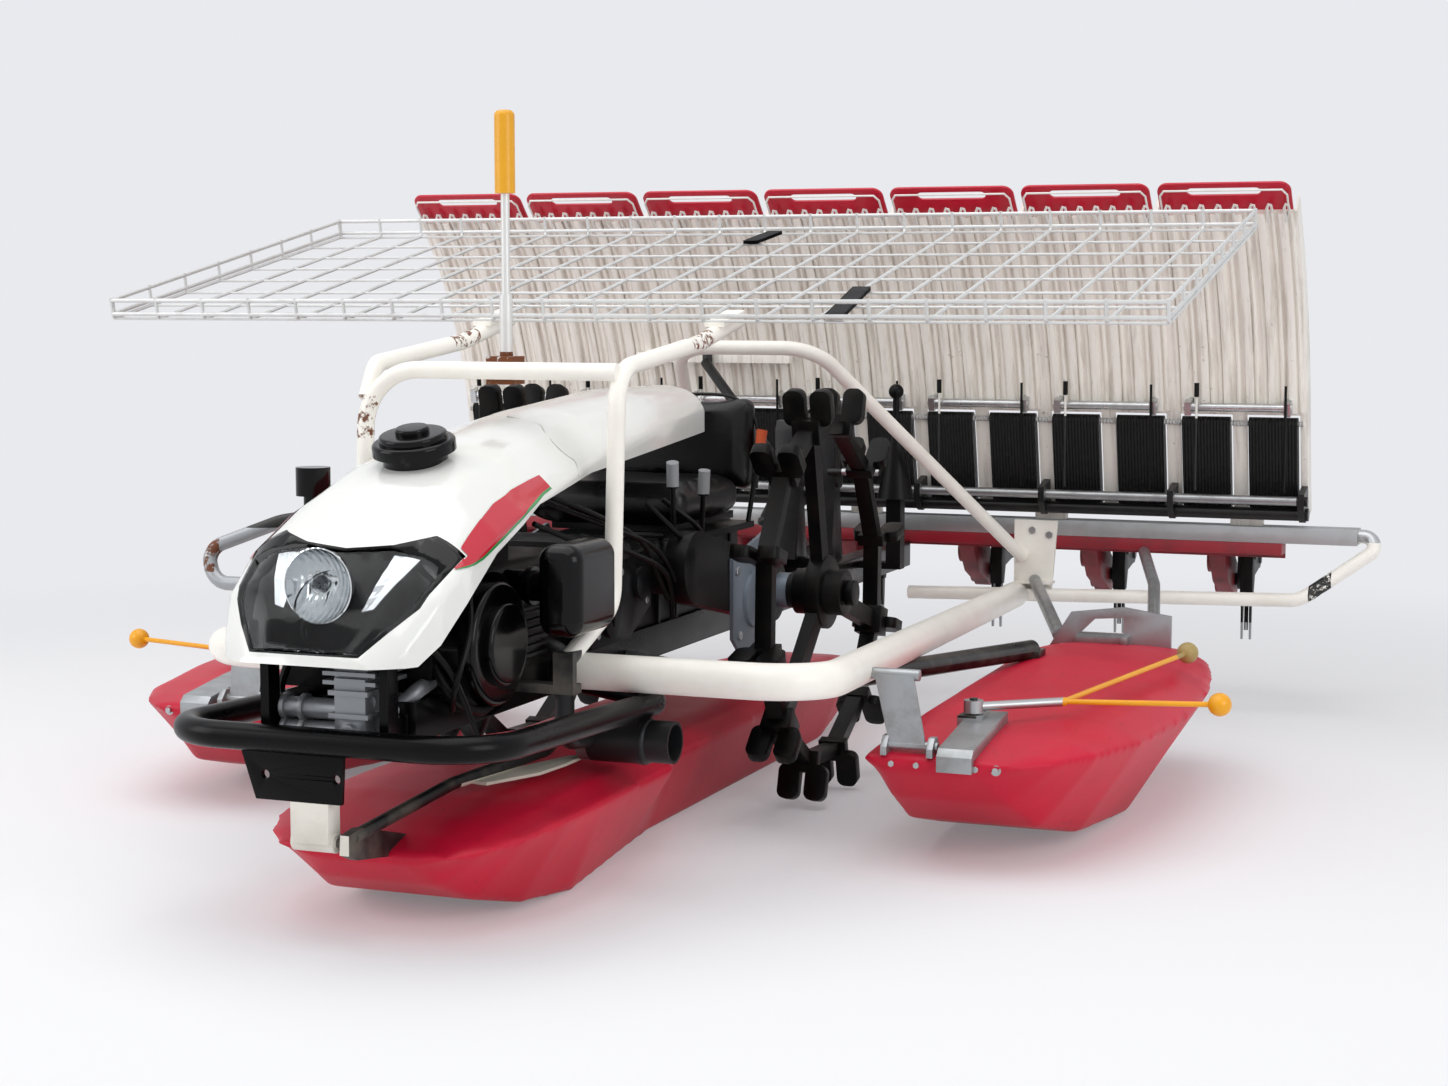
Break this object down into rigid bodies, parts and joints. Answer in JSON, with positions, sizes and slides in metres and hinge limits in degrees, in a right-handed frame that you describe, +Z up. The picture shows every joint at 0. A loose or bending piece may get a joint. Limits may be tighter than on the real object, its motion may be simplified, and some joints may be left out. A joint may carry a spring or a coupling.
{
  "type": "rice transplanter",
  "caption": "Light rice transplanter with paddy wheels, floats, a ribbed seedling table that slides sideways, a wire rack and crank-driven planting arms.",
  "frame": {"origin": "on the ground, in the middle of the machine's length and width", "axes": "+Z up, +Y to the rear (the nose points along -Y), +X to the driver's left"},
  "size_m": [2.0196, 2.383, 1.047],
  "materials": {
    "black_painted_steel": "satin",
    "white_painted_steel": "gloss",
    "cast_grey": "matt",
    "red_beam": "satin",
    "aluminium_rail": "satin",
    "engine_black": "matt",
    "black_plastic": "satin",
    "exhaust_steel": "dull",
    "white_gloss_plastic": "gloss",
    "lamp_glass": "clear",
    "rack_wire": "galvanised",
    "pole": "gloss",
    "black_vinyl": "satin",
    "grey_lever": "satin",
    "red_float": "satin",
    "black_iron": "satin",
    "planting_grey": "satin",
    "planting_black": "satin",
    "white_tray_plastic": "satin",
    "belt_rubber": "matt",
    "idler_steel": "bright",
    "dark_shaft": "satin",
    "red_cover": "gloss"
  },
  "bodies": {
    "machine": {"main_frame": "black_painted_steel", "transmission": "cast_grey", "planting_beam": "red_beam", "slide_rail": "aluminium_rail", "side_tubes": "white_painted_steel", "guard_tubes": "white_painted_steel", "gate_tube": "white_painted_steel", "bumper": "black_painted_steel", "tow_plate": "black_painted_steel", "front_casting": "cast_grey", "engine": "engine_black", "recoil_starter": "black_plastic", "air_cleaner": "black_plastic", "muffler": "exhaust_steel", "hood": "white_gloss_plastic", "headlamp": "lamp_glass", "fuel_cap": "black_plastic", "intake_cap": "black_plastic", "grab_handle": "black_painted_steel", "rack_posts": "white_painted_steel", "rack": "rack_wire", "sighting_pole": "pole", "seat": "black_vinyl", "levers": "grey_lever", "centre_float": "red_float", "side_float_left": "red_float", "side_float_right": "red_float", "float_link": "white_painted_steel", "float_hangers": "grey_lever", "wheel_arm_left": "black_painted_steel", "wheel_arm_right": "black_painted_steel", "planting_cases": "planting_grey", "table_stays": "black_painted_steel", "marker_brackets": "grey_lever"},
    "wheel_left": {"wheel_left": "black_iron"},
    "wheel_right": {"wheel_right": "black_iron"},
    "seedling_table": {"seed_tray": "white_tray_plastic", "feed_belts": "belt_rubber", "belt_idlers": "idler_steel", "feed_shafts": "dark_shaft", "mat_covers": "red_cover"},
    "marker_left": {"marker_left": "pole"},
    "marker_right": {"marker_right": "pole"},
    "planting_cranks": {"planting_cranks": "planting_grey"},
    "planting_arms": {"planting_arms": "planting_black"}
  },
  "joints": [
    {"name": "wheel_left_spin", "type": "hinge", "parent": "machine", "child": "wheel_left", "pos_m": [0.262, -0.0575, 0.33], "axis": [1, 0, 0], "continuous": true},
    {"name": "wheel_right_spin", "type": "hinge", "parent": "machine", "child": "wheel_right", "pos_m": [-0.262, -0.0575, 0.33], "axis": [1, 0, 0], "continuous": true},
    {"name": "table_shift", "type": "slide", "parent": "machine", "child": "seedling_table", "axis": [1, 0, 0], "range_m": [-0.11, 0.11]},
    {"name": "marker_left_swing", "type": "hinge", "parent": "machine", "child": "marker_left", "pos_m": [0.59, -0.3475, 0.214], "axis": [0, 0, 1], "range_deg": [-80, 0]},
    {"name": "marker_right_swing", "type": "hinge", "parent": "machine", "child": "marker_right", "pos_m": [-0.59, -0.3475, 0.214], "axis": [0, 0, 1], "range_deg": [0, 80]},
    {"name": "crank_spin", "type": "hinge", "parent": "machine", "child": "planting_cranks", "pos_m": [0, 1.1575, 0.235], "axis": [1, 0, 0], "continuous": true},
    {"name": "arm_pin", "type": "hinge", "parent": "planting_cranks", "child": "planting_arms", "pos_m": [0, 1.1575, 0.277], "axis": [1, 0, 0], "continuous": true}
  ],
  "couplings": [
    {"joint": "arm_pin", "follows": "crank_spin", "ratio": -1}
  ]
}
